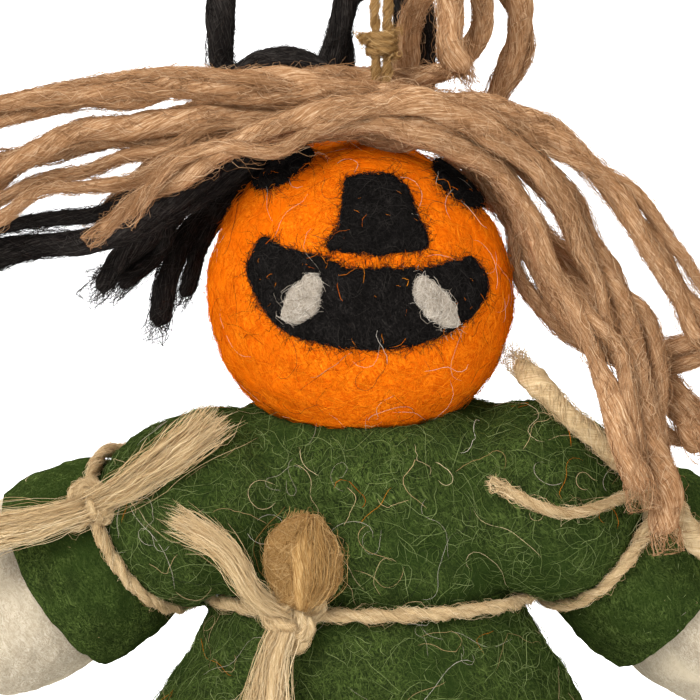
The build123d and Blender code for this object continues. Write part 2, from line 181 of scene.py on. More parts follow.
class Nodes:
    """A short way to write a node material."""

    def __init__(self, name):
        self.material = bpy.data.materials.new(name)
        self.material.use_nodes = True
        self.tree = self.material.node_tree
        self.shader = self.tree.nodes["Principled BSDF"]

    def add(self, kind, values=None, inputs=None):
        node = self.tree.nodes.new(kind)
        for key, value in (values or {}).items():
            setattr(node, key, value)
        for key, value in (inputs or {}).items():
            if isinstance(value, bpy.types.NodeSocket):
                self.tree.links.new(value, node.inputs[key])
            else:
                node.inputs[key].default_value = value
        return node

    def coordinates(self):
        return self.add("ShaderNodeTexCoord").outputs["Object"]

    def noise(self, vector, scale, detail=2.0, distortion=0.0, rough=0.5):
        return self.add(
            "ShaderNodeTexNoise",
            inputs={"Vector": vector, "Scale": scale, "Detail": detail, "Distortion": distortion,
                    "Roughness": rough},
        ).outputs["Fac"]

    def stretched(self, vector, turn, scale):
        """Coordinates turned first, then scaled."""
        return self.add(
            "ShaderNodeMapping", {"vector_type": "TEXTURE"},
            {"Vector": vector, "Rotation": turn, "Scale": tuple(1 / v for v in scale)},
        ).outputs[0]

    def vector(self, operation, inputs):
        return self.add("ShaderNodeVectorMath", {"operation": operation}, inputs).outputs[0]

    def maths(self, operation, a, b):
        return self.add("ShaderNodeMath", {"operation": operation}, {0: a, 1: b}).outputs[0]

    def ramp(self, factor, stops):
        node = self.add("ShaderNodeValToRGB", inputs={"Fac": factor})
        elements = node.color_ramp.elements
        while len(elements) < len(stops):
            elements.new(0.5)
        for element, (place, shade) in zip(elements, stops):
            element.position, element.color = place, shade
        return node.outputs["Color"]

    def mask(self, factor, low, high, most):
        """A grey that is black up to low and rises to most at high."""
        return self.ramp(factor, [(low, (0, 0, 0, 1)), (high, (most, most, most, 1))])

    def mix(self, factor, a, b):
        return self.add("ShaderNodeMix", {"data_type": "RGBA"}, {0: factor, 6: a, 7: b}).outputs[2]

    def bump(self, height, strength, distance, normal=None):
        inputs = {"Height": height, "Strength": strength, "Distance": distance}
        if normal is not None:
            inputs["Normal"] = normal
        return self.add("ShaderNodeBump", inputs=inputs).outputs["Normal"]

    def finish(self, base, normal, roughness, sheen=0.0, sheen_tint=(1, 1, 1, 1)):
        self.tree.links.new(base, self.shader.inputs["Base Color"])
        if normal is not None:
            self.tree.links.new(normal, self.shader.inputs["Normal"])
        for key, value in (("Roughness", roughness), ("Specular IOR Level", 0.0), ("Sheen Weight", sheen),
                           ("Sheen Roughness", 0.6), ("Sheen Tint", sheen_tint)):
            self.shader.inputs[key].default_value = value
        return self.material


def felt_material(name, shades, patches=None, patch_scale=90.0, relief=0.7, sheen=0.06):
    """Matted fibres running every way: shades are dark, middle and light; patches a drifting tint."""
    n = Nodes(name)
    where = n.coordinates()
    warp = n.add("ShaderNodeTexNoise", None, {"Vector": where, "Scale": 300.0, "Detail": 2.0}).outputs["Color"]
    warp = n.vector("SCALE", {0: warp, "Scale": 0.0022})
    bent = n.vector("ADD", {0: where, 1: warp})
    strands = None
    turns = ((0.3, 0.9, 0.2), (1.3, 0.2, 1.1), (0.7, 2.2, 2.4), (2.1, 1.2, 0.6), (2.7, 0.5, 1.8))
    for turn in turns:
        layer = n.noise(n.stretched(bent, turn, (420, 3600, 3600)), 1.0, 1.0, 0.8)
        strands = layer if strands is None else n.maths("MAXIMUM", strands, layer)
    fine = n.noise(where, 4200, 3.0)
    lumps = n.noise(where, 380, 3.0, 0.4)
    dark, middle, light = shades
    base = n.ramp(strands, [(0.52, dark), (0.64, middle), (0.82, light)])
    base = n.mix(n.mask(lumps, 0.25, 0.8, 0.8), base, dark)
    if patches:
        drift = n.noise(where, patch_scale, 3.0, 1.2)
        base = n.mix(n.mask(drift, 0.45, 0.7, 0.8), base, patches)
    height = n.maths("ADD", strands, n.maths("MULTIPLY", fine, 0.3))
    normal = n.bump(height, relief, 0.00030)
    normal = n.bump(lumps, 0.35, 0.0007, normal)
    return n.finish(base, normal, 0.95, sheen, middle)


def fibre_material(name, shades):
    """Single fibres, each with its own shade."""
    n = Nodes(name)
    tone = n.add("ShaderNodeAttribute", {"attribute_name": "tone"}).outputs["Fac"]
    along = n.noise(n.coordinates(), 600, 2.0)
    mixed = n.maths("ADD", n.maths("MULTIPLY", tone, 0.75), n.maths("MULTIPLY", along, 0.25))
    base = n.ramp(mixed, [(0.1, shades[0]), (0.5, shades[1]), (0.9, shades[2])])
    return n.finish(base, None, 0.75)


def yarn_material(name, shades, stretch=1.0):
    """The body of a yarn: streaks that follow its fibres, by the strand attribute."""
    n = Nodes(name)
    lay = n.add("ShaderNodeAttribute", {"attribute_name": "strand"}).outputs["Vector"]
    streak = n.noise(n.vector("MULTIPLY", {0: lay, 1: (7 * stretch, 7 * stretch, 3.0)}), 1.0, 3.0, 0.9)
    thin = n.noise(n.vector("MULTIPLY", {0: lay, 1: (24 * stretch, 24 * stretch, 6.0)}), 1.0, 3.0, 0.8)
    drift = n.noise(n.coordinates(), 120, 2.0)
    both = n.maths("ADD", n.maths("MULTIPLY", streak, 0.5), n.maths("MULTIPLY", thin, 0.5))
    base = n.ramp(both, [(0.36, shades[0]), (0.5, shades[1]), (0.64, shades[2])])
    base = n.mix(n.mask(drift, 0.4, 0.8, 0.5), base, shades[0])
    return n.finish(base, n.bump(both, 0.6, 0.0004), 0.9, 0.05, shades[1])


ORANGE = [colour(190, 78, 6), colour(226, 116, 12), colour(240, 146, 30)]
SOOT = [colour(20, 18, 17), colour(36, 33, 31), colour(74, 69, 65)]
BLACK = [colour(12, 11, 10), colour(26, 24, 23), colour(54, 50, 47)]
PALE = [colour(150, 138, 122), colour(198, 186, 170), colour(222, 214, 202)]
GREEN = [colour(26, 34, 15), colour(60, 75, 32), colour(100, 114, 60)]
CREAM = [colour(150, 137, 116), colour(188, 176, 155), colour(212, 202, 184)]
TAN = [colour(112, 76, 48), colour(168, 126, 88), colour(214, 182, 146)]
JUTE = [colour(156, 124, 82), colour(206, 178, 134), colour(236, 216, 178)]
GOLD = [colour(120, 84, 42), colour(174, 136, 84), colour(208, 176, 126)]

MAT = {
    "orange": felt_material("orange_felt", ORANGE, colour(236, 108, 4), 80),
    "black": felt_material("black_felt", BLACK, sheen=0.0),
    "pale": felt_material("pale_felt", PALE),
    "green": felt_material("green_felt", GREEN, colour(34, 48, 18), 70),
    "cream": felt_material("undyed_felt", CREAM, colour(196, 182, 156), 70, 0.5),
    "tan": yarn_material("tan_yarn", TAN),
    "black_yarn": yarn_material("black_yarn", SOOT),
    "jute": yarn_material("jute_twine", JUTE, 1.6),
    "gold": yarn_material("gold_twine", GOLD, 1.6),
}
for wool, shades in {
    "orange": ORANGE, "black": BLACK, "pale": PALE, "cream": CREAM, "tan": TAN, "jute": JUTE, "gold": GOLD,
    "soot": SOOT, "green": [colour(38, 50, 22), colour(82, 98, 48), colour(146, 158, 104)],
}.items():
    MAT[wool + "_fibre"] = fibre_material(wool + "_fibre", shades)


# ---- meshes ------------------------------------------------------------------------------
class Soup:
    """Triangles gathered into one mesh, each with a material, a tone and a place in its strand."""

    def __init__(self):
        self.verts, self.tris, self.mats, self.tone, self.strand = [], [], [], [], []
        self.count = 0

    def add(self, verts, tris, material, tone=0.5, strand=None):
        verts = np.asarray(verts, float).reshape(-1, 3)
        self.verts.append(verts)
        self.tris.append(np.asarray(tris, int).reshape(-1, 3) + self.count)
        self.mats.append((len(self.tris[-1]), material))
        self.tone.append(np.broadcast_to(tone, len(verts)))
        self.strand.append(np.zeros((len(verts), 3)) if strand is None else strand)
        self.count += len(verts)

    def build(self, name):
        mesh = bpy.data.meshes.new(name)
        verts, tris = np.concatenate(self.verts), np.concatenate(self.tris)
        mesh.vertices.add(len(verts))
        mesh.vertices.foreach_set("co", (verts * MM).astype(np.float32).ravel())
        mesh.loops.add(tris.size)
        mesh.loops.foreach_set("vertex_index", tris.astype(np.int32).ravel())
        mesh.polygons.add(len(tris))
        mesh.polygons.foreach_set("loop_start", np.arange(0, tris.size, 3, dtype=np.int32))
        names = list(dict.fromkeys(m for _, m in self.mats))
        for m in names:
            mesh.materials.append(MAT[m])
        index = np.concatenate([np.full(k, names.index(m), np.int32) for k, m in self.mats])
        mesh.polygons.foreach_set("material_index", index)
        mesh.update(calc_edges=True)
        mesh.validate()
        mesh.shade_smooth()
        tone = mesh.attributes.new("tone", "FLOAT", "POINT")
        tone.data.foreach_set("value", np.concatenate(self.tone).astype(np.float32))
        strand = mesh.attributes.new("strand", "FLOAT_VECTOR", "POINT")
        strand.data.foreach_set("vector", np.concatenate(self.strand).astype(np.float32).ravel())
        piece = bpy.data.objects.new(name, mesh)
        bpy.context.scene.collection.objects.link(piece)
        return piece


def unit(v):
    return v / np.maximum(np.linalg.norm(v, axis=-1, keepdims=True), 1e-9)


def round_line(normal, other, theta):
    """Directions at the angle theta round a line."""
    return normal * np.cos(theta)[..., None] + other * np.sin(theta)[..., None]


def tube_tris(strands, rings, sides):
    """Triangles of closed tubes whose vertices run strand by strand and ring by ring."""
    ring = np.arange(sides)
    a = np.stack([ring, (ring + 1) % sides, ring + sides, (ring + 1) % sides + sides], -1)
    quads = (a[None] + (np.arange(rings - 1) * sides)[:, None, None]).reshape(-1, 4)
    tris = np.concatenate([quads[:, [0, 1, 2]], quads[:, [1, 3, 2]]])
    fan = np.array([(0, i + 1, i) for i in range(1, sides - 1)]).reshape(-1, 3)
    end = fan[:, ::-1] + (rings - 1) * sides
    tris = np.concatenate([tris, fan, end])
    return (tris[None] + (np.arange(strands) * rings * sides)[:, None, None]).reshape(-1, 3)


def add_fibres(soup, paths, width, material, rng, tone=None):
    """Thin tapering fibres along paths (n, k, 3). Width is the radius, one for all or one each."""
    n, k, _ = paths.shape
    sides = 3
    tangent = unit(np.gradient(paths, axis=1))
    across = unit(np.cross(tangent, unit(rng.normal(size=(n, 1, 3)))))
    other = np.cross(tangent, across)
    taper = np.ones(k)
    taper[0] = taper[-1] = 0.35
    radius = np.broadcast_to(width, n)[:, None] * taper[None]
    angle = np.arange(sides) * 2 * math.pi / sides
    ring = round_line(across[:, :, None], other[:, :, None], angle)
    verts = paths[:, :, None] + ring * radius[:, :, None, None]
    if tone is None:
        tone = np.clip(rng.normal(0.5, 0.22, n), 0, 1)
    soup.add(verts, tube_tris(n, k, sides), material, np.repeat(tone, k * sides))


def frames(path):
    """Tangent and two unit normals at each point, carried along without twisting."""
    tangent = unit(np.gradient(path, axis=0))
    normal = np.zeros_like(path)
    start = np.cross(tangent[0], (0.3, 0.1, 1.0))
    normal[0] = start / np.linalg.norm(start)
    for i in range(1, len(path)):
        v = normal[i - 1] - tangent[i] * np.dot(normal[i - 1], tangent[i])
        normal[i] = v / np.linalg.norm(v)
    return tangent, normal, np.cross(tangent, normal)


def spaced(path, step):
    """The same line with evenly spaced points."""
    length = np.concatenate([[0], np.cumsum(np.linalg.norm(np.diff(path, axis=0), axis=1))])
    s = np.linspace(0, length[-1], max(4, int(length[-1] / step) + 1))
    return np.stack([np.interp(s, length, path[:, i]) for i in range(3)], -1)


def nurbs(points, step=0.6):
    """Evenly spaced points of the smooth line whose control points are the route."""
    data = bpy.data.curves.new("route", "CURVE")
    data.dimensions, data.resolution_u = "3D", 16
    spline = data.splines.new("NURBS")
    spline.points.add(len(points) - 1)
    for point, place in zip(spline.points, points):
        point.co = (*place, 1)
    spline.order_u = 3
    spline.use_endpoint_u = True
    carrier = bpy.data.objects.new("route", data)
    mesh = bpy.data.meshes.new_from_object(carrier)
    line = np.array([v.co for v in mesh.vertices])
    bpy.data.objects.remove(carrier)
    bpy.data.curves.remove(data)
    bpy.data.meshes.remove(mesh)
    return spaced(line, step)


def wander(count, steps, rng, knots=4):
    """Smooth random wobble, (count, steps), about -1 to 1."""
    raw = rng.normal(size=(count, knots + 2)) * 0.6
    x = np.linspace(0, knots + 1, steps)
    i = np.minimum(x.astype(int), knots)
    f = x - i
    f = f * f * (3 - 2 * f)
    return raw[:, i] * (1 - f) + raw[:, i + 1] * f


def inside_path(path, start, length, steps):
    """Fractions of a path sampled for strands that begin at start and run for length."""
    s = start[:, None] + np.linspace(0, 1, steps)[None] * length[:, None]
    return np.clip(s, 0, 1) * (len(path) - 1), s


def sample(values, place):
    """Values along a path, (k, 3), read at fractional places."""
    low = np.minimum(place.astype(int), len(values) - 2)
    f = (place - low)[..., None]
    return values[low] * (1 - f) + values[low + 1] * f


def add_tube(soup, path, radius, material, rng, sides, lay, rough, ends=0.25):
    """The body of a yarn or ply, uneven along its length, with three shallow twisted ridges."""
    k = len(path)
    radius = np.broadcast_to(radius, k)
    step = np.linalg.norm(path[1] - path[0])
    _, normal, other = frames(path)
    s = np.arange(k) * step
    angle = np.arange(sides) * 2 * math.pi / sides
    swell = 1 + rough * wander(1, k, rng, max(3, int(k * step / 5)))[0]
    near = np.minimum(s, s[-1] - s) / (radius * 1.1)
    swell *= ends + (1 - ends) * np.sqrt(np.clip(1 - (1 - np.clip(near, 0, 1)) ** 2, 0, 1))
    twist = angle[None] + lay * s[:, None]
    shape = 1 + 0.07 * np.cos(3 * twist) + 0.10 * wander(sides, k, rng, max(3, int(k * step / 2.5))).T
    r = (radius * swell)[:, None] * shape
    verts = path[:, None] + round_line(normal[:, None], other[:, None], angle[None]) * r[..., None]
    seed = rng.uniform(0, 50)
    along = np.broadcast_to(s[:, None] * 0.12 + seed, twist.shape)
    strand = np.stack([np.cos(twist), np.sin(twist), along], -1)
    soup.add(verts, tube_tris(1, k, sides), material, 0.5, strand.reshape(-1, 3))


def add_yarn(soup, path, radius, body, fibre, seed, lay=0.28, cover=3.0, stray=0.7, reach=1.2,
             fine=0.035, fray=1.0, crimp=0.5, rough=0.16):
    """Hardly twisted wool: an uneven body, wavy fibres that lie along it, and a haze of loose ones."""
    rng = np.random.default_rng(seed)
    step = np.linalg.norm(path[1] - path[0])
    length = step * (len(path) - 1)
    radius = np.interp(np.linspace(0, 1, len(path)), np.linspace(0, 1, np.size(radius)), np.atleast_1d(radius))
    add_tube(soup, path, radius * 0.88, body, rng, 16, lay, rough)
    tangent, normal, other = frames(path)

    def beside(place, theta, out):
        """Points off the yarn's middle by out, at the angle theta."""
        outward = round_line(sample(normal, place), sample(other, place), theta)
        return sample(path, place) + outward * out[..., None]

    def shell(count, low, high, steps, ripple, off):
        """Fibres round the yarn: ripple is their sideways wave, off(t, radius) their height."""
        span = rng.uniform(low, high, count) / length
        start = rng.uniform(-0.02, 1.02, count) - span / 2
        place, s = inside_path(path, start, span, steps)
        around = np.interp(place, np.arange(len(path)), radius)
        waves = max(4, int((low + high) / 2 / 1.5))
        theta = rng.uniform(0, 2 * math.pi, count)[:, None] + lay * s * length
        theta = theta + ripple * wander(count, steps, rng, waves)
        p = beside(place, theta, off(np.linspace(0, 1, steps)[None], around, count, waves))
        over = np.where(s > 1, s - 1, 0) + np.where(s < 0, s, 0)
        p = p + sample(tangent, place) * np.clip(over * length, -fray * 2.5, fray * 2.5)[..., None]
        return p + sample(tangent, place) * (crimp * 0.5 * wander(count, steps, rng, waves))[..., None]

    def lying(t, around, count, waves):
        return around * 0.90 + 0.34 * np.abs(wander(count, t.size, rng, waves))

    def standing(t, around, count, waves):
        high = reach * rng.uniform(0.1, 1, (count, 1)) ** 1.5
        return around * 0.85 + high * np.sin(t * 2.6) * (1 + 0.5 * wander(count, t.size, rng, waves))

    n = int(length * cover)
    add_fibres(soup, shell(n, 4, 12, 11, 0.8, lying), rng.uniform(0.7, 1.5, n) * fine, fibre, rng)
    n = int(length * stray * 5)
    add_fibres(soup, shell(n, 2.0, 6.0, 7, 1.0, standing), rng.uniform(0.5, 1.1, n) * fine * 0.8, fibre, rng)
    # A few long ones that leave the yarn.
    n, k = int(length * stray * 0.5) + 2, 12
    place, s = inside_path(path, rng.uniform(0, 1, n), rng.uniform(4, 12, n) / length, k)
    theta = rng.uniform(0, 2 * math.pi, n)[:, None] + 1.2 * wander(n, k, rng, 5)
    t = np.linspace(0, 1, k)[None]
    around = np.interp(place, np.arange(len(path)), radius)
    away = reach * 2.2 * rng.uniform(0.2, 1, (n, 1)) ** 1.6 * t ** 1.3 * (1 + 0.5 * wander(n, k, rng, 5))
    p = beside(place, theta, around * 0.9 + away)
    add_fibres(soup, p, rng.uniform(0.5, 1.0, n) * fine * 0.8, fibre, rng)


def add_twine(soup, path, radius, seed, body="jute", fibre="jute_fibre", pitch=8.0, stray=0.8, reach=0.8):
    """Two-ply jute: two soft tubes twisted round each other, with fibres across both."""
    rng = np.random.default_rng(seed)
    _, normal, other = frames(path)
    s = np.arange(len(path)) * np.linalg.norm(path[1] - path[0])
    for ply in (0, math.pi):
        turn = ply + 2 * math.pi * s / pitch + 0.4 * wander(1, len(path), rng, 6)[0]
        line = path + round_line(normal, other, turn) * radius * 0.40
        add_yarn(soup, line, radius * 0.64, body, fibre, seed + int(ply) + 7, 1.0, 4.5, stray * 0.7, reach,
                 0.032, 0.5, 0.2, 0.12)


def add_brush(soup, path, radii, seed, count=420, material="jute_fibre", flat=1.0, clumps=9, over=0.12,
              thick=0.036, wave=0.5, body="jute", core=0.72, even=0.7):
    """An untwisted end: wavy fibres that spread from a root, in clumps, round a solid middle."""
    rng = np.random.default_rng(seed)
    k = 14
    tangent, normal, other = frames(path)
    length = np.linalg.norm(path[1] - path[0]) * (len(path) - 1)
    centre = rng.normal(size=(clumps, 2)) * 0.42
    which = rng.integers(0, clumps, count)
    own = rng.normal(size=(count, 2)) * 0.34
    t = np.linspace(0, 1, k)[None]
    end = rng.uniform(even, 1 + over, count)
    begin = rng.uniform(-0.05, 0.45, count) * (rng.uniform(size=count) < 0.5)
    s = begin[:, None] + t * (end - begin)[:, None]
    place = np.clip(s, 0, 1) * (len(path) - 1)
    wide = np.interp(np.clip(s, 0, 1), np.linspace(0, 1, len(radii)), radii)
    ripple = wander(count, k, rng, max(4, int(length / 3)))
    across = (centre[which, 0:1] + own[:, 0:1] * (0.8 + 0.5 * s)) * wide + 0.36 * ripple
    deep = (centre[which, 1:2] + own[:, 1:2] * (0.8 + 0.5 * s)) * wide * flat
    across = across + wave * wander(count, k, rng) * (0.2 + s) + 0.5 * wander(clumps, k, rng)[which] * s
    deep = deep + flat * wave * wander(count, k, rng) * (0.2 + s)
    p = sample(path, place) + sample(normal, place) * across[..., None]
    p += sample(other, place) * deep[..., None]
    p += sample(tangent, place) * (np.maximum(s - 1, 0) * length)[..., None]
    tone = np.clip(0.5 + 0.16 * rng.normal(size=clumps)[which] + 0.15 * rng.normal(size=count), 0, 1)
    add_fibres(soup, p, rng.uniform(0.6, 1.5, count) * thick, material, rng, tone)
    if core:
        cut = max(4, int(len(path) * 0.93))
        near = np.interp(np.linspace(0, 0.93, cut), np.linspace(0, 1, len(radii)), radii)
        add_tube(soup, path[:cut], near * core * (1 + flat) / 2, body, rng, 14, 0.12, 0.12, 0.3)


def finish_piece(piece, body, slot, *nodes, fill=None):
    """Puts a piece on its body, in place of its CAD nodes, which it hides; slot and fill are not used."""
    if body:
        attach(piece, body)
    if nodes:
        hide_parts(*nodes)
    return piece


# ---- felt --------------------------------------------------------------------------------
def vectors(mesh, what="co"):
    """A mesh's vertices, in metres, or their normals, one to a row."""
    flat = np.zeros(len(mesh.vertices) * 3, np.float32)
    mesh.vertices.foreach_get(what, flat)
    return flat.reshape(-1, 3)


def lumpy(points, scale, octaves=3):
    return np.array([noise.fractal(Vector(p * scale), 1.0, 2.0, octaves) for p in points])


def felt_body(name, source, material, voxel, smooth, lump, shape=None):
    """A felted piece: a remeshed, smoothed and slightly lumpy copy of a closed mesh."""
    piece = bpy.data.objects.new(name, source.copy())
    bpy.context.scene.collection.objects.link(piece)
    remesh = piece.modifiers.new("remesh", "REMESH")
    remesh.mode, remesh.voxel_size = "VOXEL", voxel * MM * 1
    relax = piece.modifiers.new("relax", "SMOOTH")
    relax.factor, relax.iterations = 0.5, smooth
    done = piece.evaluated_get(bpy.context.evaluated_depsgraph_get())
    mesh = bpy.data.meshes.new_from_object(done)
    piece.modifiers.clear()
    piece.data = mesh
    co, normal = vectors(mesh) / MM, vectors(mesh, "normal")
    if shape is not None:
        co = shape(co, normal)
    co = co + normal * (lumpy(co, 0.16)[:, None] * lump + lumpy(co, 0.7, 2)[:, None] * lump * 0.3)
    mesh.vertices.foreach_set("co", (co * MM).astype(np.float32).ravel())
    mesh.materials.clear()
    mesh.materials.append(MAT[material])
    mesh.update()
    mesh.shade_smooth()
    return piece


def turned(name, origin, axis, profile, material, sides, step, lump, seed, slant=0.0):
    """A felted piece turned about an axis, from (distance, radius) points, closed at both ends.

    slant shortens its far part at the front."""
    line = nurbs([(r, 0, s) for s, r in profile], step)
    up = Z_AXIS - axis * axis[2]
    up = up / np.linalg.norm(up) if np.linalg.norm(up) > 0.05 else X_AXIS
    side = np.cross(axis, up)
    angle = np.arange(sides) * 2 * math.pi / sides
    round_ = round_line(up, side, angle)
    verts = origin + axis * line[:, None, 2:3] + round_[None] * line[:, None, 0:1]
    if slant:
        far = np.clip((line[:, 2] - 4) / 12, 0, 1)
        front = np.clip(-round_[:, 1] + 0.15, 0, 1)
        verts = verts - slant * (far[:, None] * front[None])[..., None] * axis
    verts = verts.reshape(-1, 3)
    outward = np.repeat(round_[None], len(line), 0).reshape(-1, 3)
    shake = lumpy(verts + seed, 0.16) * lump + lumpy(verts + seed, 0.7, 2) * lump * 0.3
    verts = verts + outward * shake[:, None]
    soup = Soup()
    soup.add(verts, tube_tris(1, len(line), sides)[:, ::-1], material)
    return soup.build(name)


def surface(piece):
    """A felted piece's triangles and a tree for finding the nearest point on it."""
    mesh = piece.data
    mesh.calc_loop_triangles()
    tris = np.zeros(len(mesh.loop_triangles) * 3, np.int32)
    mesh.loop_triangles.foreach_get("vertices", tris)
    co, tris = vectors(mesh).astype(float) / MM, tris.reshape(-1, 3)
    return co, tris, BVHTree.FromPolygons([Vector(c) for c in co], tris.tolist())


def add_fuzz(soup, skin, material, count, length, lift, width, seed, keep=None, curl=1.2, steps=7):
    """Fibres that lie on a felted surface, leave it by up to lift and come back or stay out."""
    co, tris, tree = skin
    rng = np.random.default_rng(seed)
    a, b, c = co[tris[:, 0]], co[tris[:, 1]], co[tris[:, 2]]
    area = np.linalg.norm(np.cross(b - a, c - a), axis=1)
    if keep is not None:
        area = area * keep((a + b + c) / 3)
    pick = rng.choice(len(tris), count, p=area / area.sum())
    u, v = rng.uniform(size=(2, count))
    flip = u + v > 1
    u, v = np.where(flip, 1 - u, u), np.where(flip, 1 - v, v)
    point = a[pick] + (b - a)[pick] * u[:, None] + (c - a)[pick] * v[:, None]
    normal = unit(np.cross(b - a, c - a))[pick]
    heading = unit(np.cross(normal, rng.normal(size=(count, 3))))
    stretch = rng.uniform(length[0], length[1], count) / (steps - 1)
    high = lift * rng.uniform(0.05, 1, count) ** 1.8
    open_end = rng.uniform(size=count) < 0.45
    bend = rng.normal(0, curl * 0.35, (count, 1)) + curl * 1.8 * wander(count, steps, rng, 3)
    out = np.zeros((count, steps, 3))
    here = point.copy()
    for i in range(steps):
        t = i / (steps - 1)
        rise = high * np.where(open_end, t ** 1.3, math.sin(math.pi * t)) + 0.03
        if i:
            angle = bend[:, i] / (steps - 1)
            side = np.cross(normal, heading)
            heading = unit(round_line(heading, side, angle))
            here = here + heading * stretch[:, None]
            for j in range(count):
                found, face_normal, _, _ = tree.find_nearest(Vector(here[j]))
                here[j] = found
                normal[j] = face_normal
            heading = unit(heading - normal * np.sum(heading * normal, 1)[:, None])
        out[:, i] = here + normal * rise[:, None]
    add_fibres(soup, out, rng.uniform(0.6, 1.3, count) * width, material, rng)


def fuzz_piece(name, skin, body, slot, *rows):
    """A piece of fibres on a felted surface; each row holds what add_fuzz takes after the surface."""
    soup = Soup()
    for row in rows:
        add_fuzz(soup, skin, *row)
    return finish_piece(soup.build(name), body, slot)


def twine_piece(name, body, node, *runs):
    """A piece of twine; each run holds what add_twine takes."""
    soup = Soup()
    for run in runs:
        add_twine(soup, *run)
    return finish_piece(soup.build(name), body, "jute", node)


# ---- head --------------------------------------------------------------------------------
def head_shape(co, normal):
    """A little flatter at the upper right, fuller in the cheeks."""
    d = unit(co - HEAD)
    flat = np.clip(d @ unit(np.array([0.72, -0.1, 0.68])) - 0.72, 0, 1)
    full = np.clip(-d[:, 2] * 0.6 + np.abs(d[:, 0]) * 0.5 - 0.45, 0, 1)
    return co + d * (full * 0.9 - flat * 3.2)[:, None]


head = felt_body("head_felt", frame["nodes"]["head"].data, "orange", 0.7, 3, 0.4, head_shape)
finish_piece(head, "figure", "orange_felt", "head", fill=1.0)

TILT = math.radians(7)
FACE_OUT = np.array([0, -math.cos(TILT), math.sin(TILT)])
FACE_UP = np.array([0, math.sin(TILT), math.cos(TILT)])

NOSE = [(-2.3, 13.3), (-2.5, 10.5), (-2.9, 8.0), (-5.0, 6.1), (-4.2, 5.0), (0.2, 4.9), (2.2, 4.3), (4.6, 5.0),
        (9.0, 5.2), (8.6, 7.6), (7.3, 10.0), (6.4, 13.2), (4.6, 15.0), (2.6, 15.4), (0.0, 15.2), (-2.0, 14.8)]
MOUTH = [(-12.9, 7.3), (-14.6, 5.2), (-15.3, 2.8), (-14.4, 0.2), (-12.2, -3.8), (-9.4, -5.9), (-6.0, -7.0),
         (-1.2, -7.9), (4.0, -7.8), (8.6, -7.1), (13.4, -4.6), (15.6, -2.6), (17.2, 0.2), (16.4, 2.2),
         (15.2, 4.2), (13.0, 4.0), (8.2, 2.7), (3.6, 2.7), (-1.8, 2.5), (-4.8, 4.2), (-7.6, 4.8), (-10.6, 5.6)]


def oval(x, z, lean, width, height, seed):
    """A slightly uneven oval, in the plane of the face."""
    rng = np.random.default_rng(seed)
    a = np.linspace(0, 2 * math.pi, 14, endpoint=False)
    r = 1 + rng.normal(0, 0.06, 14)
    u, v = np.cos(a) * width / 2 * r, np.sin(a) * height / 2 * r
    turn = math.radians(lean)
    return [(x + p * math.cos(turn) - q * math.sin(turn), z + p * math.sin(turn) + q * math.cos(turn))
            for p, q in zip(u, v)]


def outline_distance(points, outline):
    """Signed distance to a closed outline, positive inside."""
    poly = np.array(outline)
    nxt = np.roll(poly, -1, axis=0)
    edge = nxt - poly
    rel = points[:, None] - poly[None]
    t = np.clip((rel * edge).sum(-1) / (edge * edge).sum(-1), 0, 1)
    d = np.linalg.norm(rel - edge[None] * t[..., None], axis=-1).min(1)
    cross = ((poly[None, :, 1] > points[:, None, 1]) != (nxt[None, :, 1] > points[:, None, 1])) & (
        points[:, None, 0] < (nxt[:, 0] - poly[:, 0])[None]
        * (points[:, None, 1] - poly[None, :, 1]) / (nxt[:, 1] - poly[:, 1] + 1e-9)[None] + poly[None, :, 0])
    return np.where(cross.sum(1) % 2 == 1, d, -d)


head_skin = surface(head)


def off_crown(c):
    """Keeps fibres away from the knot of the hanging loop."""
    return (np.linalg.norm(c - CROWN, axis=1) > 6.5).astype(float)


def face_point(u, v):
    """Points on the felted head, straight in front of places in the plane of the face, and normals."""
    p, n = np.zeros((len(u), 3)), np.zeros((len(u), 3))
    for i, (a, b) in enumerate(zip(u, v)):
        origin = HEAD + X_AXIS * a + FACE_UP * b + FACE_OUT * 40
        hit, normal, _, _ = head_skin[2].ray_cast(Vector(origin), Vector(-FACE_OUT))
        if hit is None:
            hit = HEAD + unit(X_AXIS * a + FACE_UP * b) * 20.5
            normal = unit(X_AXIS * a + FACE_UP * b)
        p[i], n[i] = hit, normal
    return p, n


